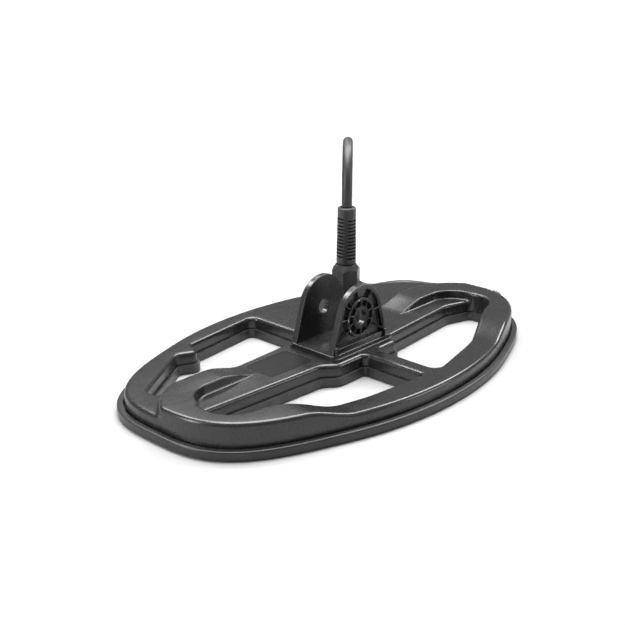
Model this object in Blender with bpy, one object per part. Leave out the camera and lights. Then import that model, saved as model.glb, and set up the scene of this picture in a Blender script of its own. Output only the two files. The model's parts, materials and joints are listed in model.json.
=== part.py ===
"""Search coil of a metal detector: a flat plastic head with three windows, two crossed windings inside it,
a clevis for the shaft on top, a clip-on skid plate below, and a cable with its gland, boot and connector.

Lengths are in millimetres until place() turns them into metres. +X is the long axis, +Y the side of the
cable gland, +Z up, and the origin is on the ground under the middle of the head.
"""

import math
from collections import defaultdict

import bpy
import numpy as np
from mathutils import Matrix, Vector
from mathutils.geometry import delaunay_2d_cdt

MM = 0.001
GAP = 0.3

# Outline of the head, seen from above
HALF_LENGTH = 127.0
HALF_WIDTH = 78.0
SHOULDER = 0.049
SHOULDER_END = 60.0
SKEW = 0.009
HOUSING_INSET = 3.8
OUTLINE_POINTS = 60

# Heights
SKID_FLOOR = 1.6
SKID_LIP = 4.75
SKID_LIP_WIDTH = 3.0
WINDOW_LIP = 1.3
COVER_BOTTOM = SKID_FLOOR + GAP
COVER_TOP = 3.9
HOUSING_BOTTOM = COVER_TOP + GAP
LOW_DECK = 11.6
HOOK_RISE = 5.3
WALL = 2.0

# The raised hooks at both ends, where one winding crosses over the other
RAMP_START = 56.0
RAMP_END = 82.0
HOOK_INNER = (91.0, -15.0, 18.0)
HOOK_OUTER = (88.0, -21.5, 38.5)
INNER_STEP_RUN = 0.8
OUTER_STEP_RUN = 4.0

# Windows through the head: corners as (x, y, corner radius), anticlockwise
FAR_WINDOW = [
    (-109.5, 20.5, 2.5), (-100, 16.3, 10), (-66, 16.6, 40), (-26, 19, 20), (-3, 20, 3),
    (-3, 64.3, 5), (-55.5, 57, 2.5), (-59, 46, 3.5), (-70, 51.5, 5), (-108, 27, 3),
]
NEAR_WINDOW = [
    (-109, -10.8, 3), (-109.5, -33.5, 16), (-86, -36, 20), (-66, -49, 25), (-40, -55.5, 60),
    (-1, -60, 2.5), (-1, -21.5, 3.5), (-22, -21.5, 6), (-29, -15.2, 8),
]
HEEL_WINDOW = [
    (9, -61.5, 5), (52, -52.5, 60), (72, -44, 40), (90, -36, 25), (109.5, -30, 14),
    (108, -15, 5), (91, -9.2, 14), (26, -14.4, 2), (26, -22, 2.5), (9, -22, 4),
]
WINDOWS = (FAR_WINDOW, NEAR_WINDOW, HEEL_WINDOW)

# Shaft bracket: a plinth with two ears, and a pivot hole across both
BRACKET_X = 1.2
PLINTH = (-21.8, 26.5, -17.5, 14.5)
PLINTH_STEP = 1.6
PLINTH_STEP_TOP = 13.0
PLINTH_TOP = 14.5
PLINTH_BOTTOM = LOW_DECK + GAP
NEAR_EAR_FACE = -13.0
FAR_EAR_FACE = 10.0
EAR_THICKNESS = 3.5
EAR_WEB = 1.7
EAR_CENTRE = 31.8
EAR_RADIUS = 16.4
EAR_FOOT_HALF = 22.5
EAR_BAR_TOP = 17.2
EAR_RIM = 2.2
PIVOT_HEIGHT = 30.3
PIVOT_HOLE = 4.1
BOSS_INNER = 6.2
BOSS_OUTER = (9.3, 10.9)
RIB_HALF = 0.45
INNER_RIBS = 10
OUTER_RIB_ANGLES = (8, 58, 101, 137, 175)
SCREW_PLACES = ((-15.5, -14.2), (19.5, -14.2), (-15.5, 12.2), (19.5, 12.2))
SCREW_SHANK = 1.1
SCREW_HOLE = 1.5
SCREW_HOLE_TOP = 13.9
SCREW_HEAD_RADIUS = 2.3
SCREW_HEAD_BOTTOM = 8.7
SCREW_HEAD_TOP = 9.3
SCREW_TOP = 13.6

# Cable gland, boot and cable
GLAND = (33.0, 22.0)
GLAND_HOLE = 6.4
GLAND_BOSS = 8.4
GLAND_BOSS_TOP = 19.0
NUT_BOTTOM = 25.6
NUT_TOP = 45.0
NUT_CORNER = 8.5
NUT_THREAD = 5.9
NUT_LIP = 5.1
NUT_LIP_BOTTOM = 42.2
NUT_CHAMFER = 3.0
BOOT_BOTTOM = 38.5
BOOT_BORE = 3.3
BOOT_TOP = 78.2
BOOT_RIBS = 7
CABLE_RADIUS = 3.0
CABLE_START = 78.5
CONNECTOR_X = 134.0
CONNECTOR_Y = 15.0
CONNECTOR_Z = 6.0

# The cable's legs, each a length and the heading it has turned to by its end: up out of the boot, over in a
# round bend, down behind the head, and round along the ground to the connector
CABLE_LEGS = (
    (6.0, (0, 0, 1)), (40.0, (0.76, 0.65, 0)), (34.0, (0.167, 0.143, -1)), (65.3, (0.167, 0.143, -1)),
    (39.0, (0.946, -0.324, 0)), (7.3, (0.946, -0.324, 0)), (26.0, (0.25, -1, 0)), (15.7, (0, -1, 0.25)),
    (8.0, (0, -1, 0)),
)
CABLE_STEP = 2.0

LABEL_RECESS = 0.7
LABEL_BOTTOM = 0.4
LABEL_TOP = 0.05
LABEL = (-57.0, -27.0, -7.5, 12.5)
BOARD = (12.0, 46.0, 34.0, 54.0)
BOARD_BOTTOM = 5.0
BOARD_TOP = 6.0
ON_BOARD = BOARD_TOP + GAP
POST_RADIUS = 2.0
POST_TOP = 4.7

WINDING_CENTRE = 6.5
WINDING_HALF_HEIGHT = 1.8

COLOURS = {
    "shell": ((0.085, 0.085, 0.088), 0.42, 0.0),
    "skid": ((0.05, 0.05, 0.052), 0.5, 0.0),
    "label": ((0.02, 0.02, 0.022), 0.3, 0.0),
    "rubber": ((0.02, 0.02, 0.02), 0.7, 0.0),
    "gland": ((0.03, 0.03, 0.03), 0.35, 0.0),
    "copper": ((0.55, 0.2, 0.08), 0.35, 1.0),
    "board": ((0.02, 0.16, 0.06), 0.5, 0.0),
    "steel": ((0.6, 0.6, 0.62), 0.3, 1.0),
    "brass": ((0.72, 0.5, 0.18), 0.3, 1.0),
    "cream": ((0.6, 0.55, 0.42), 0.5, 0.0),
}


# ---------- materials and objects ----------

def material(name):
    found = bpy.data.materials.get(name)
    if found:
        return found
    made = bpy.data.materials.new(name)
    made.use_nodes = True
    colour, roughness, metallic = COLOURS[name]
    shader = made.node_tree.nodes["Principled BSDF"]
    shader.inputs["Base Color"].default_value = (*colour, 1.0)
    shader.inputs["Roughness"].default_value = roughness
    shader.inputs["Metallic"].default_value = metallic
    return made


def place(name, points, faces, slot, matrix=None, origin=(0, 0, 0)):
    """One named object from points in millimetres. Its own origin is put at origin, also in millimetres."""
    start = Vector(origin)
    turned = [(matrix @ Vector(p) if matrix else Vector(p)) - start for p in points]
    mesh = bpy.data.meshes.new(name)
    mesh.from_pydata([p * MM for p in turned], [], faces)
    mesh.validate()
    mesh.materials.append(material(slot))
    mesh.shade_smooth()
    mesh.set_sharp_from_angle(angle=math.radians(32))
    made = bpy.data.objects.new(name, mesh)
    made.location = start * MM
    bpy.context.scene.collection.objects.link(made)
    return made


# ---------- outlines ----------

def head_outline(inset, count=OUTLINE_POINTS):
    """Closed outline of the head: an ellipse with fuller shoulders on both sides of each end."""
    points = []
    for step in range(count):
        angle = 2 * math.pi * step / count
        from_end = math.degrees(math.asin(abs(math.sin(angle))))
        fuller = 0.0
        if from_end < SHOULDER_END:
            fuller = SHOULDER * math.sin(math.radians(3 * from_end)) ** 2
        radius = 1 + fuller - SKEW * math.sin(2 * angle)
        x = (HALF_LENGTH - inset) * radius * math.cos(angle)
        y = (HALF_WIDTH - inset) * radius * math.sin(angle)
        points.append((x, y))
    return points


def shifted(corners, grow):
    """The same corners for an outline that lies grow millimetres further out."""
    moved = []
    count = len(corners)
    for i in range(count):
        before = Vector(corners[i - 1][:2])
        here = Vector(corners[i][:2])
        after = Vector(corners[(i + 1) % count][:2])
        in_way = (here - before).normalized()
        out_way = (after - here).normalized()
        in_normal = Vector((in_way.y, -in_way.x))
        out_normal = Vector((out_way.y, -out_way.x))
        mitre = (in_normal + out_normal).normalized()
        corner = here + mitre * (grow / max(mitre.dot(in_normal), 0.3))
        convex = in_way.x * out_way.y - in_way.y * out_way.x > 0
        radius = corners[i][2] + (grow if convex else -grow)
        moved.append((corner.x, corner.y, max(radius, 0.7)))
    return moved


def wanted_reach(corners, i):
    """How far from corner i its rounding would start."""
    here = Vector(corners[i][:2])
    to_before = Vector(corners[i - 1][:2]) - here
    to_after = Vector(corners[(i + 1) % len(corners)][:2]) - here
    return corners[i][2] / math.tan(to_before.angle(to_after) / 2)


def rounded(corners, turn_step=30.0):
    """Closed outline through the corners, each rounded with its own radius, or less where two would meet."""
    points = []
    count = len(corners)
    wanted = [wanted_reach(corners, i) for i in range(count)]
    for i in range(count):
        after = (i + 1) % count
        here = Vector(corners[i][:2])
        to_before = Vector(corners[i - 1][:2]) - here
        to_after = Vector(corners[after][:2]) - here
        half = to_before.angle(to_after) / 2
        share_before = 0.98 * to_before.length * wanted[i] / (wanted[i] + wanted[i - 1])
        share_after = 0.98 * to_after.length * wanted[i] / (wanted[i] + wanted[after])
        reach = min(wanted[i], share_before, share_after)
        radius = reach * math.tan(half)
        start = here + to_before.normalized() * reach
        halfway = (to_before.normalized() + to_after.normalized()).normalized()
        middle = here + halfway * radius / math.sin(half)
        turn = math.pi - 2 * half
        if to_before.x * to_after.y - to_before.y * to_after.x > 0:
            turn = -turn
        steps = max(1, math.ceil(abs(math.degrees(turn)) / turn_step))
        for step in range(steps + 1):
            spoke = start - middle
            spoke.rotate(Matrix.Rotation(turn * step / steps, 2))
            points.append(tuple(middle + spoke))
    return points


def circle(x, y, radius, count):
    return [
        (x + radius * math.cos(2 * math.pi * i / count), y + radius * math.sin(2 * math.pi * i / count))
        for i in range(count)
    ]


def rectangle(x0, x1, y0, y1, radius):
    return rounded([(x0, y0, radius), (x1, y0, radius), (x1, y1, radius), (x0, y1, radius)], 30.0)


def inside(loop, x, y):
    """Whether the point is inside the closed loop."""
    ring = np.asarray(loop)
    ahead = np.roll(ring, -1, axis=0)
    crossing = (ring[:, 1] > y) != (ahead[:, 1] > y)
    rise = np.where(crossing, ahead[:, 1] - ring[:, 1], 1.0)
    where = ring[:, 0] + (y - ring[:, 1]) * (ahead[:, 0] - ring[:, 0]) / rise
    return bool(np.count_nonzero(crossing & (x < where)) % 2)


# ---------- solids with flat or sloping steps ----------

def triangulated(loops, lines=()):
    """Triangles over the plan, with every loop and line as edges."""
    points = []
    edges = []
    for loop in loops:
        first = len(points)
        points.extend(loop)
        edges.extend((first + i, first + (i + 1) % len(loop)) for i in range(len(loop)))
    for line in lines:
        first = len(points)
        points.extend(line)
        edges.extend((first + i, first + i + 1) for i in range(len(line) - 1))
    made = delaunay_2d_cdt([Vector(p) for p in points], edges, [], 0, 1e-4)
    return [tuple(p) for p in made[0]], [tuple(face) for face in made[2]]


def walls_between(low, high, levels, i, j, vertex):
    """The upright face on edge i to j from the low heights to the high ones, or None where they meet."""
    right = [z for z in levels[j] if low[1] <= z <= high[1]]
    left = [z for z in levels[i] if low[0] <= z <= high[0]]
    ring = [vertex(j, z) for z in sorted(right)]
    ring += [vertex(i, z) for z in sorted(left, reverse=True)]
    return ring if len(set(ring)) > 2 else None


def stepped_solid(points, triangles, layer_at):
    """Closed solid over a plan. layer_at(x, y) gives (top, bottom) height functions, or None outside it."""
    kept = {}
    levels = defaultdict(set)
    for triangle in triangles:
        x = sum(points[i][0] for i in triangle) / 3
        y = sum(points[i][1] for i in triangle) / 3
        layer = layer_at(x, y)
        if layer is None:
            continue
        heights = {}
        for i in triangle:
            heights[i] = tuple(round(surface(*points[i]), 4) for surface in layer)
            levels[i].update(heights[i])
        for k in range(3):
            kept[(triangle[k], triangle[(k + 1) % 3])] = (triangle, heights)
    made = []
    index = {}

    def vertex(i, z):
        if (i, z) not in index:
            index[(i, z)] = len(made)
            made.append((*points[i], z))
        return index[(i, z)]

    faces = []
    for (i, j), (triangle, heights) in kept.items():
        if (i, j) == triangle[:2]:
            faces.append([vertex(k, heights[k][0]) for k in triangle])
            faces.append([vertex(k, heights[k][1]) for k in reversed(triangle)])
        other = kept.get((j, i))
        if other is None:
            spans = [((heights[i][1], heights[j][1]), (heights[i][0], heights[j][0]))]
        else:
            beside = other[1]
            spans = [
                ((beside[i][0], beside[j][0]), (heights[i][0], heights[j][0])),
                ((heights[i][1], heights[j][1]), (beside[i][1], beside[j][1])),
            ]
        for low, high in spans:
            if low[0] > high[0] or low[1] > high[1]:
                continue
            face = walls_between(low, high, levels, i, j, vertex)
            if face:
                faces.append(face)
    return made, faces


def flat(height):
    return lambda x, y: height


# ---------- turned pieces and swept pieces ----------

def turned(name, profile, slot, sides=20, matrix=None, origin=(0, 0, 0)):
    """A closed profile of (radius, height), listed upwards on its outer side, turned about the axis."""
    points = []
    faces = []
    rings = []
    for radius, height in profile:
        if radius < 1e-6:
            rings.append([len(points)] * sides)
            points.append((0, 0, height))
            continue
        rings.append(list(range(len(points), len(points) + sides)))
        for i in range(sides):
            angle = 2 * math.pi * (i + 0.5) / sides
            points.append((radius * math.cos(angle), radius * math.sin(angle), height))
    for k in range(len(profile)):
        lower = rings[k]
        upper = rings[(k + 1) % len(profile)]
        for i in range(sides):
            j = (i + 1) % sides
            face = []
            for corner in (lower[i], lower[j], upper[j], upper[i]):
                if corner not in face:
                    face.append(corner)
            if len(face) > 2:
                faces.append(face)
    return place(name, points, faces, slot, matrix, origin)


def along(start, way):
    """Matrix that stands a turned piece at start with its axis along way."""
    turn = Vector((0, 0, 1)).rotation_difference(Vector(way)).to_matrix().to_4x4()
    return Matrix.Translation(Vector(start)) @ turn


def closed_curve(points, per_span):
    """Smooth closed curve through the points."""
    count = len(points)
    smooth = []
    for i in range(count):
        a, b, c, d = (Vector(points[(i + k - 1) % count]) for k in range(4))
        for step in range(per_span):
            t = step / per_span
            smooth.append(
                0.5 * (2 * b + (c - a) * t + (2 * a - 5 * b + 4 * c - d) * t * t
                       + (3 * b - a - 3 * c + d) * t * t * t)
            )
    return smooth


def open_curve(points, spacing):
    """Smooth open curve through the points, sampled about every spacing millimetres."""
    ends = [2 * Vector(points[0]) - Vector(points[1])]
    ends += [Vector(p) for p in points]
    ends.append(2 * Vector(points[-1]) - Vector(points[-2]))
    smooth = []
    for i in range(1, len(ends) - 2):
        a, b, c, d = ends[i - 1:i + 3]
        steps = max(1, round((c - b).length / spacing))
        for step in range(steps):
            t = step / steps
            smooth.append(
                0.5 * (2 * b + (c - a) * t + (2 * a - 5 * b + 4 * c - d) * t * t
                       + (3 * b - a - 3 * c + d) * t * t * t)
            )
    smooth.append(ends[-2])
    return smooth


def bundle(name, path, half_width, half_height, slot, sides=6):
    """A winding: an oval bundle swept round a closed path."""
    points = []
    faces = []
    count = len(path)
    for k in range(count):
        way = path[(k + 1) % count] - path[k - 1]
        across = Vector((way.y, -way.x, 0)).normalized()
        for i in range(sides):
            angle = 2 * math.pi * (i + 0.5) / sides
            offset = across * (half_width * math.cos(angle)) + Vector((0, 0, half_height * math.sin(angle)))
            points.append(path[k] + offset)
    for k in range(count):
        after = (k + 1) % count
        for i in range(sides):
            j = (i + 1) % sides
            faces.append([k * sides + i, after * sides + i, after * sides + j, k * sides + j])
    return place(name, points, faces, slot)


def tube(name, points, radius, slot, ring_detail):
    """A round lead along the points, with closed ends."""
    curve = bpy.data.curves.new(name, "CURVE")
    curve.dimensions = "3D"
    curve.bevel_depth = radius * MM
    curve.bevel_resolution = ring_detail
    curve.use_fill_caps = True
    spline = curve.splines.new("POLY")
    spline.points.add(len(points) - 1)
    for point, spot in zip(points, spline.points):
        spot.co = (*(point * MM), 1.0)
    curve.materials.append(material(slot))
    made = bpy.data.objects.new(name, curve)
    bpy.context.scene.collection.objects.link(made)
    return made


# ---------- the head ----------

def smooth_step(low, high, value):
    t = min(max((value - low) / (high - low), 0.0), 1.0)
    return t * t * (3 - 2 * t)


def hook_share(x, y):
    """0 on the low deck, 1 on top of a raised hook."""
    inner_x, inner_y, inner_radius = HOOK_INNER
    outer_x, outer_y, outer_radius = HOOK_OUTER
    past_inner = math.hypot(max(abs(x) - inner_x, 0), y - inner_y) - inner_radius
    short_of_outer = outer_radius - math.hypot(max(abs(x) - outer_x, 0), max(y - outer_y, 0))
    share = smooth_step(RAMP_START, RAMP_END, abs(x))
    share *= smooth_step(-INNER_STEP_RUN, 0, past_inner)
    return share * smooth_step(-OUTER_STEP_RUN, 0, short_of_outer)


def deck_height(x, y):
    return LOW_DECK + HOOK_RISE * hook_share(x, y)


def ceiling_height(x, y):
    return deck_height(x, y) - WALL


def hook_lines():
    """Lines along the edges of the hooks' steps, so that the steps stay crisp."""
    lines = []
    inner_x, inner_y, inner_radius = HOOK_INNER
    outer_x, outer_y, outer_radius = HOOK_OUTER
    for side in (-1, 1):
        for run in (0, INNER_STEP_RUN):
            radius = inner_radius - run
            line = [(side * x, inner_y + radius) for x in (57, 64, 70, 76, 84)]
            for degrees in range(90, -1, -15):
                angle = math.radians(degrees)
                line.append((side * (inner_x + radius * math.cos(angle)), inner_y + radius * math.sin(angle)))
            lines.append(line)
        for run in (0, OUTER_STEP_RUN / 2, OUTER_STEP_RUN):
            radius = outer_radius + run
            line = []
            if side > 0 and run != OUTER_STEP_RUN / 2:
                line = [(x, outer_y + radius) for x in (57, 64, 70, 76, 82)]
            for degrees in range(90, 5, -12):
                angle = math.radians(degrees)
                line.append((side * (outer_x + radius * math.cos(angle)), outer_y + radius * math.sin(angle)))
            lines.append(line)
    return lines


def ramp_lines():
    """Lines straight across the head, where the ramps change their slope."""
    lines = []
    for station in range(5):
        x = RAMP_START + (RAMP_END - RAMP_START) * station / 4
        lines += [[(side * x, -HALF_WIDTH), (side * x, HALF_WIDTH)] for side in (-1, 1)]
    return lines


def screw_loops(radius):
    return [circle(x, y, radius, 6) for x, y in SCREW_PLACES]


def upper_housing():
    outer = head_outline(HOUSING_INSET)
    outer_room = head_outline(HOUSING_INSET + WALL)
    windows = [rounded(corners) for corners in WINDOWS]
    window_walls = [rounded(shifted(corners, WALL)) for corners in WINDOWS]
    boss = circle(*GLAND, GLAND_BOSS, 20)
    hole = circle(*GLAND, GLAND_HOLE, 16)
    recess = rectangle(*LABEL, 2.5)
    screws = screw_loops(SCREW_HOLE)
    loops = [outer, outer_room, *windows, *window_walls, boss, hole, recess, *screws]
    points, triangles = triangulated(loops, hook_lines() + ramp_lines())
    recess_floor = flat(LOW_DECK - LABEL_RECESS)

    def layer_at(x, y):
        if not inside(outer, x, y) or inside(hole, x, y):
            return None
        if any(inside(loop, x, y) for loop in windows + screws):
            return None
        top = deck_height
        if inside(boss, x, y):
            top = flat(GLAND_BOSS_TOP)
        elif inside(recess, x, y):
            top = recess_floor
        hollow = inside(outer_room, x, y) and not any(inside(loop, x, y) for loop in window_walls)
        return top, ceiling_height if hollow else flat(HOUSING_BOTTOM)

    made, faces = stepped_solid(points, triangles, layer_at)
    return place("upper_housing", made, faces, "shell")


def lower_cover():
    outer = head_outline(HOUSING_INSET)
    windows = [rounded(corners) for corners in WINDOWS]
    x0, x1, y0, y1 = BOARD
    posts = [circle(x, y, POST_RADIUS, 8) for x in (x0 + 3, x1 - 3) for y in (y0 + 3, y1 - 3)]
    points, triangles = triangulated([outer, *windows, *posts])

    def layer_at(x, y):
        if not inside(outer, x, y) or any(inside(loop, x, y) for loop in windows):
            return None
        raised = any(inside(loop, x, y) for loop in posts)
        return flat(POST_TOP if raised else COVER_TOP), flat(COVER_BOTTOM)

    made, faces = stepped_solid(points, triangles, layer_at)
    return place("lower_cover", made, faces, "shell")


def skid_plate():
    outer = head_outline(0)
    lip = head_outline(SKID_LIP_WIDTH)
    holes = [rounded(shifted(corners, -WINDOW_LIP - GAP)) for corners in WINDOWS]
    lips = [rounded(shifted(corners, -GAP)) for corners in WINDOWS]
    points, triangles = triangulated([outer, lip, *holes, *lips])

    def layer_at(x, y):
        if not inside(outer, x, y) or any(inside(loop, x, y) for loop in holes):
            return None
        raised = not inside(lip, x, y) or any(inside(loop, x, y) for loop in lips)
        return flat(SKID_LIP if raised else SKID_FLOOR), flat(0)

    made, faces = stepped_solid(points, triangles, layer_at)
    return place("skid_plate", made, faces, "skid")


def label_plate():
    x0, x1, y0, y1 = LABEL
    loop = rectangle(x0 + GAP, x1 - GAP, y0 + GAP, y1 - GAP, 2.2)
    points, triangles = triangulated([loop])
    layers = flat(LOW_DECK - LABEL_TOP), flat(LOW_DECK - LABEL_BOTTOM)
    made, faces = stepped_solid(points, triangles, lambda x, y: layers if inside(loop, x, y) else None)
    return place("label_plate", made, faces, "label")


# ---------- windings ----------

RECEIVE_SIDE = [
    (30, -64.5), (60, -57.0), (85, -47.2), (97, -41.6), (105.3, -36), (111.8, -27.5), (115.2, -17),
    (115.2, -7), (111.8, 0), (106, 5), (97, 9), (86, 10), (70, 9.5), (40, 9.5),
]
TRANSMIT_TOE = [(-30, 66), (-57, 60.6), (-85, 49.2), (-104.5, 37.5), (-115.4, 22), (-117, 8), (-113.5, -2.5),
                (-106, -6.2), (-80, -7), (-40, -9)]
TRANSMIT_HEEL = [(40, -7.5), (80, -4.4), (100, -3.4), (111, -0.5), (117, 8), (115, 21), (103, 37.5),
                 (84, 49.2), (60, 58.4), (30, 64.6)]


def windings():
    """The near winding rides over the far one inside both hooks."""
    receive = [(0, -66.4)] + RECEIVE_SIDE + [(0, 9.5)] + [(-x, y) for x, y in reversed(RECEIVE_SIDE)]
    path = []
    for point in closed_curve([(x, y, 0) for x, y in receive], 2):
        lift = HOOK_RISE * smooth_step(RAMP_START, RAMP_END, abs(point.x))
        path.append(Vector((point.x, point.y, WINDING_CENTRE + lift)))
    bundle("receive_winding", path, 2.0, WINDING_HALF_HEIGHT, "copper")
    transmit = [(0, 69.2)] + TRANSMIT_TOE + [(0, -9)] + TRANSMIT_HEEL
    path = closed_curve([(x, y, WINDING_CENTRE) for x, y in transmit], 2)
    bundle("transmit_winding", path, 1.9, WINDING_HALF_HEIGHT, "copper")


# ---------- shaft bracket ----------

def ear_outline():
    """The ear's outline about the pivot line: a dome on a foot that widens downwards."""
    foot = PLINTH_TOP - 0.8
    drop = EAR_CENTRE - foot
    lean = math.atan2(EAR_FOOT_HALF - EAR_RADIUS, drop)
    points = [(-EAR_FOOT_HALF, foot), (EAR_FOOT_HALF, foot)]
    for step in range(13):
        angle = lean + (math.pi - 2 * lean) * step / 12
        points.append((EAR_RADIUS * math.cos(angle), EAR_CENTRE + EAR_RADIUS * math.sin(angle)))
    return points


def inner_rim(outline):
    """The outline moved in by the rim's width."""
    corners = [(x, y, 0.8) for x, y in outline]
    return [(x, y) for x, y, _ in shifted(corners, -EAR_RIM)]


def rib(angle, start, end):
    """Long thin rectangle that runs outwards from the pivot."""
    way = Vector((math.cos(angle), math.sin(angle)))
    side = Vector((-way.y, way.x)) * RIB_HALF
    centre = Vector((0, PIVOT_HEIGHT))
    a = centre + way * start
    b = centre + way * end
    return [tuple(a - side), tuple(b - side), tuple(b + side), tuple(a + side)]


def ear(matrix):
    """One ear, 0 at its plain face, with the rim, boss and ribs standing outwards."""
    outline = ear_outline()
    rim = inner_rim(outline)
    hole = circle(0, PIVOT_HEIGHT, PIVOT_HOLE, 16)
    boss = circle(0, PIVOT_HEIGHT, BOSS_INNER, 16)
    ring_in = circle(0, PIVOT_HEIGHT, BOSS_OUTER[0], 16)
    ring_out = circle(0, PIVOT_HEIGHT, BOSS_OUTER[1], 16)
    ribs = [
        rib(2 * math.pi * (i + 0.5) / INNER_RIBS, BOSS_INNER - 0.4, BOSS_OUTER[0] + 0.4)
        for i in range(INNER_RIBS)
    ]
    ribs += [rib(math.radians(angle), BOSS_OUTER[1] - 0.3, 22) for angle in OUTER_RIB_ANGLES]
    bar = [(-EAR_FOOT_HALF, EAR_BAR_TOP), (EAR_FOOT_HALF, EAR_BAR_TOP)]
    points, triangles = triangulated([outline, rim, hole, boss, ring_in, ring_out, *ribs], [bar])

    def layer_at(x, y):
        if not inside(outline, x, y) or inside(hole, x, y):
            return None
        raised = y < EAR_BAR_TOP or not inside(rim, x, y) or inside(boss, x, y)
        raised = raised or (inside(ring_out, x, y) and not inside(ring_in, x, y))
        raised = raised or any(inside(loop, x, y) for loop in ribs)
        return flat(EAR_THICKNESS if raised else EAR_WEB), flat(0)

    made, faces = stepped_solid(points, triangles, layer_at)
    return place("ear_tool", made, faces, "shell", matrix)


def plinth():
    x0, x1, y0, y1 = PLINTH
    wide = rectangle(x0 - PLINTH_STEP, x1 + PLINTH_STEP, y0 - PLINTH_STEP, y1 + PLINTH_STEP, 3.5)
    upper = rectangle(x0, x1, y0, y1, 2.5)
    screws = screw_loops(SCREW_HOLE)
    points, triangles = triangulated([wide, upper, *screws])

    def layer_at(x, y):
        if not inside(wide, x, y):
            return None
        top = PLINTH_TOP if inside(upper, x, y) else PLINTH_STEP_TOP
        bottom = SCREW_HOLE_TOP if any(inside(loop, x, y) for loop in screws) else PLINTH_BOTTOM
        return flat(top), flat(bottom)

    made, faces = stepped_solid(points, triangles, layer_at)
    return place("shaft_bracket", made, faces, "shell")


def shaft_bracket():
    """Plinth and both ears as one moulding."""
    near = Matrix(((1, 0, 0, BRACKET_X), (0, 0, -1, NEAR_EAR_FACE), (0, 1, 0, 0), (0, 0, 0, 1)))
    far = Matrix(((-1, 0, 0, BRACKET_X), (0, 0, 1, FAR_EAR_FACE), (0, 1, 0, 0), (0, 0, 0, 1)))
    body = plinth()
    for tool in (ear(near), ear(far)):
        joined = body.modifiers.new("join", "BOOLEAN")
        joined.operation = "UNION"
        joined.solver = "EXACT"
        joined.object = tool
        tool.hide_render = True
        tool.display_type = "WIRE"
    return body


def bracket_screws():
    profile = [
        (0, SCREW_HEAD_BOTTOM), (SCREW_HEAD_RADIUS, SCREW_HEAD_BOTTOM), (SCREW_HEAD_RADIUS, SCREW_HEAD_TOP),
        (SCREW_SHANK, SCREW_HEAD_TOP), (SCREW_SHANK, SCREW_TOP), (0, SCREW_TOP),
    ]
    for number, (x, y) in enumerate(SCREW_PLACES, 1):
        turned(f"bracket_screw_{number}", profile, "steel", 8, Matrix.Translation((x, y, 0)))


# ---------- gland, boot, cable ----------

def gland_nut(matrix, origin):
    """Hexagonal nut with chamfered top corners, a threaded bore and a lip that holds the boot down."""
    sides = 24
    apothem = NUT_CORNER * math.cos(math.pi / 6)
    rings = []
    points = []

    def ring(radius_at, height):
        rings.append(list(range(len(points), len(points) + sides)))
        for i in range(sides):
            angle = 2 * math.pi * i / sides
            radius = radius_at(angle)
            points.append((radius * math.cos(angle), radius * math.sin(angle), height))

    def hexagon(angle):
        return apothem / math.cos((angle + math.pi / 6) % (math.pi / 3) - math.pi / 6)

    ring(hexagon, NUT_BOTTOM)
    ring(hexagon, NUT_TOP - NUT_CHAMFER)
    ring(lambda angle: min(hexagon(angle), apothem - NUT_CHAMFER * 0.55), NUT_TOP)
    ring(lambda angle: NUT_LIP, NUT_TOP)
    ring(lambda angle: NUT_LIP, NUT_LIP_BOTTOM)
    ring(lambda angle: NUT_THREAD, NUT_LIP_BOTTOM)
    ring(lambda angle: NUT_THREAD, NUT_BOTTOM)
    faces = []
    for k in range(len(rings)):
        lower = rings[k]
        upper = rings[(k + 1) % len(rings)]
        for i in range(sides):
            j = (i + 1) % sides
            faces.append([lower[i], lower[j], upper[j], upper[i]])
    return place("gland_nut", points, faces, "gland", matrix, origin)


def gland():
    stand = Matrix.Translation((*GLAND, 0))
    turned("gland_o_ring", [(6.7, 19.2), (8.4, 19.2), (8.4, 20.2), (6.7, 20.2)], "rubber", 12, stand)
    body = [
        (6.0, 10.0), (6.0, 20.5), (8.3, 20.5), (8.3, 25.2),
        (5.6, 25.2), (5.6, 36.0), (3.5, 36.0), (3.5, 10.0),
    ]
    turned("gland_body", body, "gland", 18, stand)
    turned("gland_seal", [(3.3, 36.3), (5.5, 36.3), (5.5, 38.2), (3.3, 38.2)], "rubber", 16, stand)
    gland_nut(stand, (*GLAND, NUT_BOTTOM))


def strain_relief():
    """Ribbed boot: a flange under the nut, a neck, rings with gaps between them, and a plain collar."""
    profile = [(5.5, BOOT_BOTTOM), (5.5, 41.9), (4.75, 41.9), (4.75, 45.6)]
    first = 46.2
    last = 71.6
    pitch = (last - first) / BOOT_RIBS
    for i in range(BOOT_RIBS):
        low = first + i * pitch
        radius = 5.65 - 0.045 * i
        profile += [(radius, low), (radius, low + 0.6 * pitch)]
        profile += [(radius - 1.1, low + 0.6 * pitch), (radius - 1.1, low + pitch)]
    profile += [(5.2, last + 0.4), (5.2, BOOT_TOP - 0.6), (4.7, BOOT_TOP)]
    profile += [(BOOT_BORE, BOOT_TOP), (BOOT_BORE, BOOT_BOTTOM)]
    turned("strain_relief", profile, "rubber", 12, Matrix.Translation((*GLAND, 0)))


def cable_route():
    """Points along the cable's middle. The heading turns evenly along each leg."""
    spot = Vector((*GLAND, CABLE_START))
    heading = Vector((0, 0, 1))
    points = [spot]
    for length, last_heading in CABLE_LEGS:
        last_heading = Vector(last_heading).normalized()
        steps = round(length / CABLE_STEP)
        for step in range(steps):
            spot = spot + heading.slerp(last_heading, (step + 0.5) / steps) * (length / steps)
            points.append(spot)
        heading = last_heading
    return points[:-1] + [Vector((CONNECTOR_X, CONNECTOR_Y + GAP, CONNECTOR_Z))]


def cable():
    profile = [(0, 8.9), (CABLE_RADIUS, 8.9), (CABLE_RADIUS, BOOT_TOP), (0, BOOT_TOP)]
    turned("cable_core", profile, "rubber", 12, Matrix.Translation((*GLAND, 0)))
    route = cable_route()
    tube("cable_lead", route[:-2:4] + route[-1:], CABLE_RADIUS, "rubber", 2)


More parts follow.
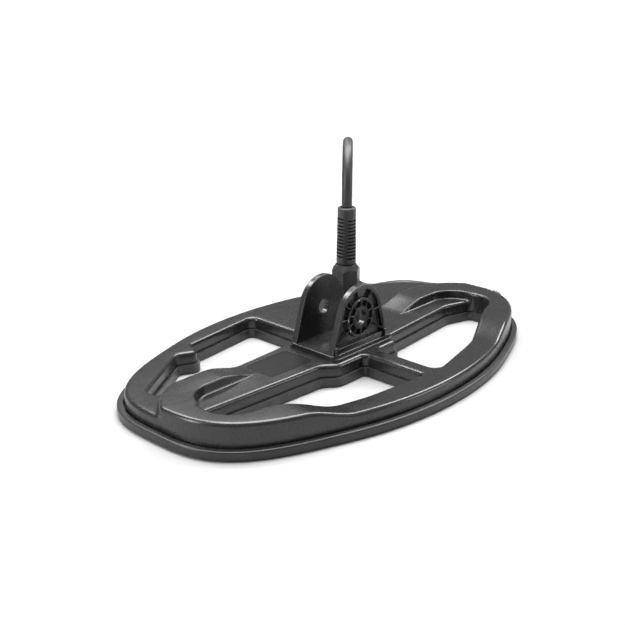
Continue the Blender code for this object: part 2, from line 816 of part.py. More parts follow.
def inner_leads():
    """Four thin wires from the cable's end to the terminal block."""
    x, y = GLAND
    for number in range(4):
        start_x = x + 1.3 * (number - 1.5)
        end_x = 24.5 + 3.0 * number
        route = [(start_x, y, 8.6), (start_x, y + 0.3, 7.6), (start_x, y + 2.0, 6.8),
                 ((start_x + end_x) / 2, y + 7.5, 6.8), (end_x, y + 13.4, 7.6)]
        tube(f"inner_lead_{number + 1}", open_curve(route, 2.5), 0.45, "copper", 1)


# ---------- circuit board ----------

def slab(name, x0, x1, y0, y1, z0, z1, slot, radius):
    loop = rectangle(x0, x1, y0, y1, radius)
    points, triangles = triangulated([loop])
    made, faces = stepped_solid(
        points, triangles, lambda x, y: (flat(z1), flat(z0)) if inside(loop, x, y) else None
    )
    return place(name, made, faces, slot)


def circuit_board():
    slab("circuit_board", *BOARD, BOARD_BOTTOM, BOARD_TOP, "board", 1.2)
    slab("terminal_block", 23.0, 35.0, 35.8, 39.8, ON_BOARD, 9.0, "cream", 0.4)
    slab("preamp_chip", 16.5, 22.5, 44.0, 49.0, ON_BOARD, 7.8, "rubber", 0.3)
    slab("tuning_capacitor", 30.0, 41.0, 44.0, 50.0, ON_BOARD, 9.0, "cream", 1.0)


# ---------- connector ----------

def connector():
    stand = along((CONNECTOR_X, CONNECTOR_Y, CONNECTOR_Z), (0, -1, 0))
    body = [
        (0, 0), (3.7, 0), (4.3, 3), (4.9, 7), (4.9, 14.6), (5.3, 15.2), (5.3, 17.0), (3.5, 17.0), (3.5, 22.8),
        (3.0, 22.8), (3.0, 24.4), (3.5, 24.4), (3.5, 26.5), (2.7, 26.5), (2.7, 19.0), (0, 19.0),
    ]
    turned("connector_body", body, "rubber", 16, stand)
    turned("connector_insert", [(0, 19.3), (2.4, 19.3), (2.4, 25.0), (0, 25.0)], "cream", 12, stand)
    for number in range(4):
        angle = math.pi / 4 + number * math.pi / 2
        shift = Matrix.Translation((1.25 * math.cos(angle), 1.25 * math.sin(angle), 0))
        pin = [(0, 25.3), (0.45, 25.3), (0.45, 29.6), (0.2, 30.0), (0, 30.0)]
        turned(f"connector_pin_{number + 1}", pin, "brass", 8, stand @ shift)
    turned("connector_o_ring", [(3.3, 23.1), (3.75, 23.1), (3.75, 24.1), (3.3, 24.1)], "rubber", 16, stand)
    ring = [(4.05, 17.3), (5.2, 17.3), (5.75, 17.9), (5.75, 30.6), (5.3, 33.0), (4.4, 33.0), (4.05, 27.5)]
    axis = (CONNECTOR_X, CONNECTOR_Y - 17.3, CONNECTOR_Z)
    turned("lock_ring", ring, "steel", 20, stand, axis)


def main():
    for old in list(bpy.data.objects):
        bpy.data.objects.remove(old)
    upper_housing()
    lower_cover()
    skid_plate()
    label_plate()
    windings()
    shaft_bracket()
    bracket_screws()
    gland()
    strain_relief()
    cable()
    inner_leads()
    circuit_board()
    connector()


main()
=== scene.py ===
import json
import math
from collections import defaultdict

import bpy
import numpy as np
from mathutils import Matrix, Vector
from mathutils.geometry import delaunay_2d_cdt


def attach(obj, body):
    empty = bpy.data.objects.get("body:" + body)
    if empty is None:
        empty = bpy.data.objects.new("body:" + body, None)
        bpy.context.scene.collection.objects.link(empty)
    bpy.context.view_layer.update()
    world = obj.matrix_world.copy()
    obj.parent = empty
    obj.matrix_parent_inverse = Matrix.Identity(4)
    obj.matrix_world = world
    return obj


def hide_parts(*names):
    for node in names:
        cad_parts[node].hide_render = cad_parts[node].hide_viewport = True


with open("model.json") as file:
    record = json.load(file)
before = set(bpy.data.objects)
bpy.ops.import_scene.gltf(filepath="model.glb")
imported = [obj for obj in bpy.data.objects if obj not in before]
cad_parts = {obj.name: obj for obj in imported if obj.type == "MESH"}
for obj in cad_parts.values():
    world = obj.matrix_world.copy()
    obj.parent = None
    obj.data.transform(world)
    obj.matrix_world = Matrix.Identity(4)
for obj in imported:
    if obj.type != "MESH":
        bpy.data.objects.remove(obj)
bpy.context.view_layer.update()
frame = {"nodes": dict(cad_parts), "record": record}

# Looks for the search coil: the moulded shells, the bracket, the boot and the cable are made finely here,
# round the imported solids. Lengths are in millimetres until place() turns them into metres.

MM = 0.001

# The head's outline and heights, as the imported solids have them
HALF_LENGTH = 127.0
HALF_WIDTH = 78.0
SHOULDER = 0.049
SHOULDER_END = 60.0
SKEW = 0.009
HOUSING_INSET = 3.8
OUTLINE_POINTS = 300

SKID_FLOOR = 1.6
SKID_LIP = 4.75
SKID_LIP_WIDTH = 3.0
WINDOW_LIP = 1.3
GAP = 0.3
HOUSING_BOTTOM = 4.2
LOW_DECK = 11.6
HOOK_RISE = 5.3
WALL = 2.0

RAMP_START = 56.0
RAMP_END = 82.0
HOOK_INNER = (91.0, -15.0, 18.0)
HOOK_OUTER = (88.0, -21.5, 38.5)
INNER_STEP_ROUND = 1.1
OUTER_STEP_ROUND = 1.7
STEP_FACE_RUN = 0.15
HOOK_STATION = 3
INNER_ARC = (-61, 5)
OUTER_ARC = (4, 4)
RAMP_STATIONS = 10

# Fillets: edge radius of the deck, and the insets of the rings that carry it
DECK_ROUND = 2.2
RING_INSETS = (0.1, 0.35, 0.75, 1.2, 1.7, 2.25)
SKID_ROUND = 0.9
SKID_RINGS = (0.08, 0.25, 0.5, 0.92)
SKID_LIP_RING = 0.35

# How outlines are rounded, shifted and triangulated
CORNER_SHARE = 0.98
LEAST_RADIUS = 0.7
LEAST_MITRE = 0.3
PLAN_TOLERANCE = 1e-4

FAR_WINDOW = [
    (-109.5, 20.5, 2.5), (-100, 16.3, 10), (-66, 16.6, 40), (-26, 19, 20), (-3, 20, 3),
    (-3, 64.3, 5), (-55.5, 57, 2.5), (-59, 46, 3.5), (-70, 51.5, 5), (-108, 27, 3),
]
NEAR_WINDOW = [
    (-109, -10.8, 3), (-109.5, -33.5, 16), (-86, -36, 20), (-66, -49, 25), (-40, -55.5, 60),
    (-1, -60, 2.5), (-1, -21.5, 3.5), (-22, -21.5, 6), (-29, -15.2, 8),
]
HEEL_WINDOW = [
    (9, -61.5, 5), (52, -52.5, 60), (72, -44, 40), (90, -36, 25), (109.5, -30, 14),
    (108, -15, 5), (91, -9.2, 14), (26, -14.4, 2), (26, -22, 2.5), (9, -22, 4),
]
WINDOWS = (FAR_WINDOW, NEAR_WINDOW, HEEL_WINDOW)

LABEL = (-57.0, -27.0, -7.5, 12.5)
LABEL_RECESS = 0.7
LABEL_ROUND = 2.5

BRACKET_X = 1.2
PLINTH = (-21.8, 26.5, -17.5, 14.5)
PLINTH_CORNER = 2.5
PLINTH_STEP = 1.6
PLINTH_STEP_CORNER = 3.5
PLINTH_STEP_TOP = 13.0
PLINTH_TOP = 14.5
PLINTH_BOTTOM = 11.5
PLINTH_ROUND = 0.5
PLINTH_ROUND_STEPS = 5
NEAR_EAR_FACE = -13.0
FAR_EAR_FACE = 10.0
EAR_THICKNESS = 3.5
EAR_WEB = 1.7
EAR_CENTRE = 31.8
EAR_RADIUS = 16.4
EAR_FOOT_HALF = 22.5
EAR_BAR_TOP = 17.2
EAR_RIM = 2.2
EAR_SUNK = 0.8
EAR_DOME_STEPS = 36
EAR_ROUND = 0.32
PIVOT_HEIGHT = 30.3
PIVOT_HOLE = 4.1
BOSS_INNER = 6.2
BOSS_OUTER = (9.3, 10.9)
RIB_HALF = 0.45
RIB_OVERLAP = 0.4
OUTER_RIB_OVERLAP = 0.3
OUTER_RIB_END = 22
INNER_RIBS = 10
OUTER_RIB_ANGLES = (-31, 8, 58, 101, 131, 143, 175, 211)
GUSSET_FROM_END = 2.6
GUSSET_HALF = 1.1
GUSSET_OUT = 1.3
GUSSET_IN = 0.6
GUSSET_CORNER = 0.7
GUSSET_RISE = 1.6
GUSSET_SUNK = 0.3
GUSSET_ROUND = 0.5

GLAND = (33.0, 22.0)
GLAND_HOLE = 6.4
GLAND_BOSS = 8.4
GLAND_BOSS_TOP = 19.0
GLAND_BOSS_ROUND = 0.7
GLAND_BOSS_RINGS = (0.1, 0.3, 0.7)
GLAND_BORE = 3.5
STEM_RADIUS = 6.0
STEM_BOTTOM = 10.0
FLANGE_RADIUS = 8.3
FLANGE_BOTTOM = 20.5
FLANGE_TOP = 25.2
FLANGE_ROUND = 0.2
THREAD_RADIUS = 5.6
THREAD_DEPTH = 0.35
THREAD_RISE = 0.45
THREAD_RINGS = 24
THREAD_END = (5.3, 36.0)
NUT_BOTTOM = 25.6
NUT_TOP = 45.0
NUT_CORNER = 8.5
NUT_RIM = 1.65
NUT_CONE = 3.4
NUT_EDGE = 0.25
NUT_MOUTH = 5.1
NUT_MOUTH_BOTTOM = 42.2
NUT_BORE = 5.9
BOOT_BOTTOM = 38.5
BOOT_TOP = 78.2
BOOT_NECK_TOP = 46.0
BOOT_NECK = (5.5, 4.75)
BOOT_NECK_LEVELS = (41.9, 45.6)
BOOT_FOOT = 5.65
BOOT_TAPER = 0.5 / 32
BOOT_TOP_ROUND = 0.6
BOOT_BORE = 3.3
SLOT_FIRST = 48.6
SLOT_LAST = 72.5
SLOT_ROWS = 12
SLOT_BORE = 4.0
BRIDGE_ANGLE = 34.0
BRIDGE_HALF = 13.0
BOOT_COLUMNS = 96
CABLE_RADIUS = 3.0
CABLE_START = 78.5
CABLE_END = (134.0, 15.3, 6.0)
CABLE_LEGS = (
    (6.0, (0, 0, 1)), (40.0, (0.76, 0.65, 0)), (34.0, (0.167, 0.143, -1)), (65.3, (0.167, 0.143, -1)),
    (39.0, (0.946, -0.324, 0)), (7.3, (0.946, -0.324, 0)), (26.0, (0.25, -1, 0)), (15.7, (0, -1, 0.25)),
    (8.0, (0, -1, 0)),
)
CABLE_STEP = 2.0
CONNECTOR_AT = (134.0, 15.0, 6.0)
GRIP_GROOVES = 5
GRIP_FIRST = 8.0
GRIP_PITCH = 1.3
GRIP_RADIUS = 4.9
GRIP_DEPTH = 0.35
GRIP_SLOPE = 0.15
GRIP_WIDTH = 0.7
RING_RADIUS = 5.75
RING_BORE = 4.05
KNURL_DEPTH = 0.28
KNURL_RIDGES = 36

# Camera
CAMERA_AT = (-0.35521, -0.31292, 0.20343)
CAMERA_PITCH = 69.791
CAMERA_TURN = -47.053
CAMERA_LENS = 53.6
CAMERA_SENSOR = 36

# Studio
WORLD_LOW = 0.2
WORLD_HIGH = 0.5
FLOOR_HALF = 40.0
FLOOR_DROP = 0.0005
FLOOR_GLOW = 0.95
FLOOR_GLOW_FROM = (0.3, 1.5)
FLOOR_COLOUR = (0.36, 0.36, 0.36)
LAMPS_AIM = (0, 0, 0.01)
LAMPS = (
    ("overhead", (0.1, 0.1, 1.0), (0.75, 0.75), 22),
    ("edges right", (0.9, -0.1, 1.0), (0.35, 0.6), 11),
    ("edges far", (-0.1, 0.75, 1.0), (0.35, 0.3), 6),
    ("front right", (0.75, -0.93, 0.36), (0.3, 0.25), 2.4),
    ("ramps", (0.5, 0.77, 0.77), (0.4, 0.22), 1.2),
    ("left", (-1.1, 0.35, 0.45), (0.3, 0.7), 7),
)


# ---------- materials ----------

def new_material(name):
    """A node material, with its tree and its shader."""
    made = bpy.data.materials.new(name)
    made.use_nodes = True
    tree = made.node_tree
    return made, tree, tree.nodes["Principled BSDF"]


def add_node(tree, kind, **values):
    """A new node with the given properties."""
    node = tree.nodes.new(kind)
    for key, value in values.items():
        setattr(node, key, value)
    return node


def noise(tree, coordinates, scale, detail, stretch=(1, 1, 1)):
    """Noise over the coordinates, which are stretched first where asked."""
    mapping = add_node(tree, "ShaderNodeMapping")
    mapping.inputs["Scale"].default_value = stretch
    tree.links.new(coordinates, mapping.inputs["Vector"])
    node = add_node(tree, "ShaderNodeTexNoise")
    node.inputs["Scale"].default_value = scale
    node.inputs["Detail"].default_value = detail
    tree.links.new(mapping.outputs["Vector"], node.inputs["Vector"])
    return node.outputs["Fac"]


def ranged(tree, value, low, high, to_low, to_high):
    """The value, turned from the range low to high into the range to_low to to_high."""
    node = add_node(tree, "ShaderNodeMapRange")
    node.inputs["From Min"].default_value = low
    node.inputs["From Max"].default_value = high
    node.inputs["To Min"].default_value = to_low
    node.inputs["To Max"].default_value = to_high
    tree.links.new(value, node.inputs["Value"])
    return node.outputs["Result"]


def blended(tree, share, first, second):
    """A colour between the first and the second, by the share."""
    node = add_node(tree, "ShaderNodeMix", data_type="RGBA")
    tree.links.new(share, node.inputs["Factor"])
    node.inputs["A"].default_value = (*first, 1)
    node.inputs["B"].default_value = (*second, 1)
    return node


def worn_and_highlit_colour(tree, place_in, colour, worn_and_highlit, edge):
    """The colour, slightly mottled, and paler in patches along the edges: partly rubbed wear, partly a
    painted highlight on the rounded edges.
    """
    mottling = ranged(tree, noise(tree, place_in, 45.0, 5), 0.3, 0.7, 0.0, 1.0)
    darker = tuple(0.95 * c for c in colour)
    paler = tuple(1.05 * c for c in colour)
    base = blended(tree, mottling, darker, paler)
    # Pointiness pales the edges towards the second colour: partly rubbed wear, partly a painted highlight
    # along the rounded edges. edge sets how strong it is.
    point = add_node(tree, "ShaderNodeNewGeometry").outputs["Pointiness"]
    rubbed_and_highlit = ranged(tree, point, 0.505, 0.56, 0.0, edge)
    patchy = ranged(tree, noise(tree, place_in, 160.0, 6), 0.35, 0.65, 0.4, 1.0)
    share = add_node(tree, "ShaderNodeMath", operation="MULTIPLY")
    tree.links.new(rubbed_and_highlit, share.inputs[0])
    tree.links.new(patchy, share.inputs[1])
    top = blended(tree, share.outputs[0], colour, worn_and_highlit)
    tree.links.new(base.outputs["Result"], top.inputs["A"])
    return top.outputs["Result"]


def moulded(
    name, colour, worn_and_highlit, roughness, grain=0.06, grain_size=2400.0, edge=0.5, metallic=0.0, specular=0.5
):
    """Moulded plastic or rubber: slight mottling, a fine grain, uneven gloss, and edges painted paler, partly
    as wear and partly as a painted highlight.
    """
    made, tree, shader = new_material(name)
    shader.inputs["Metallic"].default_value = metallic
    shader.inputs["Specular IOR Level"].default_value = specular
    place_in = add_node(tree, "ShaderNodeTexCoord").outputs["Object"]
    tree.links.new(worn_and_highlit_colour(tree, place_in, colour, worn_and_highlit, edge), shader.inputs["Base Color"])
    streaks = noise(tree, place_in, 90.0, 6, (1, 3, 1))
    gloss = ranged(tree, streaks, 0.3, 0.7, roughness - 0.03, roughness + 0.03)
    tree.links.new(gloss, shader.inputs["Roughness"])
    bump = add_node(tree, "ShaderNodeBump")
    bump.inputs["Strength"].default_value = grain
    bump.inputs["Distance"].default_value = 0.0002
    tree.links.new(noise(tree, place_in, grain_size, 3), bump.inputs["Height"])
    tree.links.new(bump.outputs["Normal"], shader.inputs["Normal"])
    return made


def make_materials():
    """One material for each slot of the record."""
    grey = (0.0085, 0.0085, 0.0087)
    black = (0.008, 0.008, 0.0085)
    # The second colour of each material is its edge colour: partly wear, partly a painted highlight.
    return {
        "shell": moulded("moulded grey shell", grey, (0.04, 0.04, 0.041), 0.27, 0.012, 3000.0, specular=0.6),
        "skid": moulded("scuffed skid", (0.012, 0.012, 0.0125), (0.05, 0.05, 0.051), 0.34, 0.15, 700.0, 0.7),
        "label": moulded(
            "plain label film", (0.006, 0.006, 0.006), (0.02, 0.02, 0.02), 0.36, 0.04, edge=0.2, specular=0.2
        ),
        "gland": moulded("black nylon", (0.006, 0.006, 0.006), (0.06, 0.06, 0.06), 0.3, 0.05),
        "boot": moulded("boot rubber", black, (0.07, 0.07, 0.07), 0.45, 0.2),
        "seal": moulded("seal rubber", black, (0.05, 0.05, 0.05), 0.6, 0.2),
        "cable": moulded("cable jacket", (0.02, 0.02, 0.021), (0.05, 0.05, 0.05), 0.42, 0.15, 600.0, 0.0),
        "copper": moulded(
            "enamelled copper", (0.5, 0.17, 0.06), (0.7, 0.35, 0.2), 0.35, 0.6, 400.0, 0.5, 1.0
        ),
        "board": moulded("board green", (0.015, 0.13, 0.05), (0.1, 0.25, 0.12), 0.4, 0.15),
        "terminal": moulded("terminal green", (0.03, 0.2, 0.07), (0.1, 0.3, 0.15), 0.4, 0.15),
        "chip": moulded("chip resin", (0.015, 0.015, 0.016), (0.05, 0.05, 0.05), 0.5, 0.2),
        "capacitor": moulded("dipped resin", (0.5, 0.33, 0.06), (0.6, 0.45, 0.15), 0.25, 0.1),
        "wire": moulded("wire jacket", (0.45, 0.03, 0.02), (0.5, 0.1, 0.1), 0.4, 0.1),
        "steel": moulded("screw steel", (0.55, 0.55, 0.57), (0.7, 0.7, 0.7), 0.28, 0.1, 900.0, 0.3, 1.0),
        "connector": moulded("plug over-mould", black, (0.07, 0.07, 0.07), 0.42, 0.25),
        "insert": moulded("contact insert", (0.03, 0.03, 0.032), (0.06, 0.06, 0.06), 0.4, 0.1),
        "brass": moulded("gilt pins", (0.75, 0.52, 0.2), (0.85, 0.65, 0.3), 0.22, 0.05, 900.0, 0.3, 1.0),
        "ring": moulded(
            "anodised ring", (0.09, 0.09, 0.095), (0.45, 0.45, 0.46), 0.32, 0.1, 1500.0, 0.6, 0.9
        ),
    }


# ---------- placing pieces ----------

def place(name, points, faces, slot, matrix=None, sharp=34.0):
    """One object from points in millimetres."""
    mesh = bpy.data.meshes.new(name)
    mesh.from_pydata([(matrix @ Vector(p) if matrix else Vector(p)) * MM for p in points], [], faces)
    mesh.validate()
    mesh.materials.append(MATERIALS[slot])
    mesh.shade_smooth()
    mesh.set_sharp_from_angle(angle=math.radians(sharp))
    made = bpy.data.objects.new(name, mesh)
    bpy.context.scene.collection.objects.link(made)
    return made


def soften(piece, width, segments=3):
    """Rounded edges on a piece, by a bevel."""
    bevel = piece.modifiers.new("edges", "BEVEL")
    bevel.width = width * MM
    bevel.segments = segments
    bevel.limit_method = "ANGLE"
    bevel.angle_limit = math.radians(40)
    bevel.harden_normals = True
    bevel.use_clamp_overlap = False


# ---------- outlines ----------

def head_outline(inset):
    """Closed outline of the head: an ellipse with fuller shoulders on both sides of each end."""
    points = []
    for step in range(OUTLINE_POINTS):
        angle = 2 * math.pi * step / OUTLINE_POINTS
        from_end = math.degrees(math.asin(abs(math.sin(angle))))
        fuller = 0.0
        if from_end < SHOULDER_END:
            fuller = SHOULDER * math.sin(math.radians(180 / SHOULDER_END * from_end)) ** 2
        radius = 1 + fuller - SKEW * math.sin(2 * angle)
        x = (HALF_LENGTH - inset) * radius * math.cos(angle)
        y = (HALF_WIDTH - inset) * radius * math.sin(angle)
        points.append((x, y))
    return points


def shifted(corners, grow):
    """The same corners for an outline that lies grow millimetres further out."""
    moved = []
    count = len(corners)
    for i in range(count):
        before = Vector(corners[i - 1][:2])
        here = Vector(corners[i][:2])
        after = Vector(corners[(i + 1) % count][:2])
        in_way = (here - before).normalized()
        out_way = (after - here).normalized()
        in_normal = Vector((in_way.y, -in_way.x))
        out_normal = Vector((out_way.y, -out_way.x))
        mitre = (in_normal + out_normal).normalized()
        corner = here + mitre * (grow / max(mitre.dot(in_normal), LEAST_MITRE))
        convex = in_way.x * out_way.y - in_way.y * out_way.x > 0
        radius = corners[i][2] + (grow if convex else -grow)
        moved.append((corner.x, corner.y, max(radius, LEAST_RADIUS)))
    return moved


def wanted_reach(corners, i):
    """How far from corner i its rounding would start."""
    here = Vector(corners[i][:2])
    to_before = Vector(corners[i - 1][:2]) - here
    to_after = Vector(corners[(i + 1) % len(corners)][:2]) - here
    return corners[i][2] / math.tan(to_before.angle(to_after) / 2)


def rounded(corners, turn_step=7.0):
    """Closed outline through the corners, each rounded with its own radius, or less where two would meet."""
    points = []
    count = len(corners)
    wanted = [wanted_reach(corners, i) for i in range(count)]
    for i in range(count):
        after = (i + 1) % count
        here = Vector(corners[i][:2])
        to_before = Vector(corners[i - 1][:2]) - here
        to_after = Vector(corners[after][:2]) - here
        half = to_before.angle(to_after) / 2
        share_before = CORNER_SHARE * to_before.length * wanted[i] / (wanted[i] + wanted[i - 1])
        share_after = CORNER_SHARE * to_after.length * wanted[i] / (wanted[i] + wanted[after])
        reach = min(wanted[i], share_before, share_after)
        radius = reach * math.tan(half)
        start = here + to_before.normalized() * reach
        halfway = (to_before.normalized() + to_after.normalized()).normalized()
        middle = here + halfway * radius / math.sin(half)
        turn = math.pi - 2 * half
        if to_before.x * to_after.y - to_before.y * to_after.x > 0:
            turn = -turn
        steps = max(1, math.ceil(abs(math.degrees(turn)) / turn_step))
        for step in range(steps + 1):
            spoke = start - middle
            spoke.rotate(Matrix.Rotation(turn * step / steps, 2))
            points.append(tuple(middle + spoke))
    return points


def circle(x, y, radius, count):
    """Closed outline of a circle."""
    return [
        (x + radius * math.cos(2 * math.pi * i / count), y + radius * math.sin(2 * math.pi * i / count))
        for i in range(count)
    ]


def rectangle(x0, x1, y0, y1, radius):
    """Closed outline of a rectangle with rounded corners."""
    return rounded([(x0, y0, radius), (x1, y0, radius), (x1, y1, radius), (x0, y1, radius)], 15.0)


def inside_many(loop, spots):
    """For each spot, whether it is inside the closed loop."""
    result = np.zeros(len(spots), bool)
    ring = np.asarray(loop)
    ahead = np.roll(ring, -1, axis=0)
    x = spots[:, 0]
    y = spots[:, 1]
    for (ax, ay), (bx, by) in zip(ring, ahead):
        crossing = (ay > y) != (by > y)
        if ay != by:
            result ^= crossing & (x < ax + (y - ay) * (bx - ax) / (by - ay))
    return result


def edge_distance(loops, spots):
    """For each spot, the distance to the nearest edge of the loops."""
    nearest = np.full(len(spots), 1e9)
    for loop in loops:
        ring = np.asarray(loop)
        ahead = np.roll(ring, -1, axis=0)
        for a, b in zip(ring, ahead):
            way = b - a
            long = max(float(way @ way), 1e-12)
            t = np.clip((spots - a) @ way / long, 0, 1)
            nearest = np.minimum(nearest, np.linalg.norm(spots - a - t[:, None] * way, axis=1))
    return nearest


def round_over(distance, radius):
    """How far a rounded edge has dropped at this distance from the edge."""
    short = np.clip(radius - distance, 0, radius)
    return radius - np.sqrt(radius * radius - short * short)


# ---------- solids with steps and rounded edges ----------

def triangulated(loops, lines=()):
    """Triangles over the plan, with every loop and line as edges."""
    points = []
    edges = []
    for loop in loops:
        first = len(points)
        points.extend(loop)
        edges.extend((first + i, first + (i + 1) % len(loop)) for i in range(len(loop)))
    for line in lines:
        first = len(points)
        points.extend(line)
        edges.extend((first + i, first + i + 1) for i in range(len(line) - 1))
    made = delaunay_2d_cdt([Vector(p) for p in points], edges, [], 0, PLAN_TOLERANCE)
    spots = np.array([tuple(p) for p in made[0]])
    return spots, np.array([tuple(face) for face in made[2]])


def edge_heights(triangles, kept, top, bottom):
    """Top and bottom heights at both ends of each kept triangle's edges, and all the heights at each spot."""
    heights = {}
    levels = defaultdict(set)
    for index in np.flatnonzero(kept):
        triangle = triangles[index]
        for k in range(3):
            i = int(triangle[k])
            j = int(triangle[(k + 1) % 3])
            after = (k + 1) % 3
            heights[(i, j)] = (top[index, k], top[index, after], bottom[index, k], bottom[index, after])
            levels[i].update((top[index, k], bottom[index, k]))
    return heights, levels


def wall_spans(here, other):
    """Stretches of wall over one edge, each from low to high at both ends, given the side beyond the edge."""
    top_i, top_j, bottom_i, bottom_j = here
    if other is None:
        return [((bottom_i, bottom_j), (top_i, top_j))]
    return [((other[1], other[0]), (top_i, top_j)), ((bottom_i, bottom_j), (other[3], other[2]))]


def stepped_solid(spots, triangles, kept, top, bottom):
    """Closed solid over the kept triangles. top and bottom hold a height for each triangle's corners."""
    top = np.round(top, 4)
    bottom = np.round(bottom, 4)
    heights, levels = edge_heights(triangles, kept, top, bottom)
    made = []
    number = {}

    def vertex(i, z):
        """Number of the vertex over spot i at height z, which is made when first asked for."""
        key = (i, float(z))
        if key not in number:
            number[key] = len(made)
            made.append((*spots[i], float(z)))
        return number[key]

    faces = []
    for index in np.flatnonzero(kept):
        triangle = [int(i) for i in triangles[index]]
        faces.append([vertex(triangle[k], top[index, k]) for k in range(3)])
        faces.append([vertex(triangle[k], bottom[index, k]) for k in (2, 1, 0)])
    for (i, j), here in heights.items():
        for low, high in wall_spans(here, heights.get((j, i))):
            if low[0] > high[0] or low[1] > high[1]:
                continue
            ring = [vertex(j, z) for z in sorted(levels[j]) if low[1] <= z <= high[1]]
            ring += [vertex(i, z) for z in sorted(levels[i], reverse=True) if low[0] <= z <= high[0]]
            if len(set(ring)) > 2:
                faces.append(ring)
    return made, faces


def smooth_step(low, high, value):
    """0 up to low, 1 from high on, and a smooth rise between."""
    t = np.clip((value - low) / (high - low), 0.0, 1.0)
    return t * t * (3 - 2 * t)


def step_drop(inwards, height, radius):
    """How far a step of this height has dropped, with a rounded brow and a rounded foot of one radius."""
    run = 2 * radius + STEP_FACE_RUN
    t = np.clip(inwards, 0, run)
    small = np.clip(height / 2, 1e-6, radius)
    brow = small * (1 - np.sqrt(np.clip(1 - (t / radius) ** 2, 0, 1)))
    foot = height - small * (1 - np.sqrt(np.clip(1 - ((run - t) / radius) ** 2, 0, 1)))
    face = small + (height - 2 * small) * np.clip((t - radius) / STEP_FACE_RUN, 0, 1)
    return np.where(t < radius, brow, np.where(t > run - radius, foot, face))


def deck_heights(spots):
    """Height of the deck: low, and raised on the two hooks."""
    x = np.abs(spots[:, 0])
    y = spots[:, 1]
    inner_x, inner_y, inner_radius = HOOK_INNER
    outer_x, outer_y, outer_radius = HOOK_OUTER
    inside_inner = inner_radius - np.hypot(np.maximum(x - inner_x, 0), y - inner_y)
    past_outer = np.hypot(np.maximum(x - outer_x, 0), np.maximum(y - outer_y, 0)) - outer_radius
    height = HOOK_RISE * smooth_step(RAMP_START, RAMP_END, x)
    drop = np.maximum(
        step_drop(inside_inner, height, INNER_STEP_ROUND), step_drop(past_outer, height, OUTER_STEP_ROUND)
    )
    return LOW_DECK + height - drop


def step_offsets(radius):
    """Where the lines along a step lie, close together on its brow and foot."""
    brow = [radius * share for share in (0, 0.25, 0.5, 0.7, 0.86, 0.96, 1)]
    run = 2 * radius + STEP_FACE_RUN
    return brow + [run - offset for offset in reversed(brow)]


def hook_line(side, x, y, radius, arc):
    """Line along a hook's step: straight from the ramp's start, then round the hook's end."""
    last_angle, turn = arc
    line = [(side * station, y + radius) for station in range(int(RAMP_START), int(x), HOOK_STATION)]
    for degrees in range(90, last_angle, -turn):
        angle = math.radians(degrees)
        line.append((side * (x + radius * math.cos(angle)), y + radius * math.sin(angle)))
    return line


def hook_lines():
    """Lines along the edges of the hooks' steps, so that the steps stay crisp."""
    inner_x, inner_y, inner_radius = HOOK_INNER
    outer_x, outer_y, outer_radius = HOOK_OUTER
    lines = []
    for side in (-1, 1):
        for offset in step_offsets(INNER_STEP_ROUND):
            lines.append(hook_line(side, inner_x, inner_y, inner_radius - offset, INNER_ARC))
        for offset in step_offsets(OUTER_STEP_ROUND):
            lines.append(hook_line(side, outer_x, outer_y, outer_radius + offset, OUTER_ARC))
    return lines


def ramp_lines():
    """Lines straight across the head, close enough for the ramps to look smooth."""
    lines = []
    for station in range(RAMP_STATIONS + 1):
        x = RAMP_START + (RAMP_END - RAMP_START) * station / RAMP_STATIONS
        lines += [[(side * x, -HALF_WIDTH), (side * x, HALF_WIDTH)] for side in (-1, 1)]
    return lines


def inside_any(loops, spots):
    """For each spot, whether it is inside one of the closed loops."""
    result = np.zeros(len(spots), bool)
    for loop in loops:
        result |= inside_many(loop, spots)
    return result


def housing_tops(spots, triangles, middles, deck, edges):
    """Heights of the housing's upper side: deck with rounded edges, gland's boss and label's recess."""
    top = (deck - round_over(edge_distance(edges, spots), DECK_ROUND))[triangles]
    boss = circle(*GLAND, GLAND_BOSS, 48)
    on_boss = inside_many(boss, middles)
    boss_top = GLAND_BOSS_TOP - round_over(edge_distance([boss], spots), GLAND_BOSS_ROUND)
    top[on_boss] = boss_top[triangles][on_boss]
    top[inside_many(rectangle(*LABEL, LABEL_ROUND), middles)] = LOW_DECK - LABEL_RECESS
    return top


def upper_housing():
    """Moulded shell of the head, hollow inside, with its windows, hooks, boss and recess."""
    outer = head_outline(HOUSING_INSET)
    outer_room = head_outline(HOUSING_INSET + WALL)
    windows = [rounded(corners) for corners in WINDOWS]
    window_walls = [rounded(shifted(corners, WALL)) for corners in WINDOWS]
    rings = [head_outline(HOUSING_INSET + inset) for inset in RING_INSETS]
    rings += [rounded(shifted(corners, inset)) for corners in WINDOWS for inset in RING_INSETS]
    boss_rings = [circle(*GLAND, GLAND_BOSS - inset, 48) for inset in (0, *GLAND_BOSS_RINGS)]
    hole = circle(*GLAND, GLAND_HOLE, 32)
    recess = rectangle(*LABEL, LABEL_ROUND)
    loops = [outer, outer_room, *windows, *window_walls, *rings, *boss_rings, hole, recess]
    spots, triangles = triangulated(loops, hook_lines() + ramp_lines())
    middles = spots[triangles].mean(axis=1)
    kept = inside_many(outer, middles) & ~inside_any([hole, *windows], middles)
    hollow = inside_many(outer_room, middles) & ~inside_any(window_walls, middles)
    deck = deck_heights(spots)
    top = housing_tops(spots, triangles, middles, deck, [outer, *windows])
    bottom = np.full(top.shape, HOUSING_BOTTOM)
    bottom[hollow] = (deck - WALL)[triangles][hollow]
    made, faces = stepped_solid(spots, triangles, kept, top, bottom)
    piece = place("housing_shell", made, faces, "shell")
    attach(piece, "head")
    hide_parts("upper_housing")


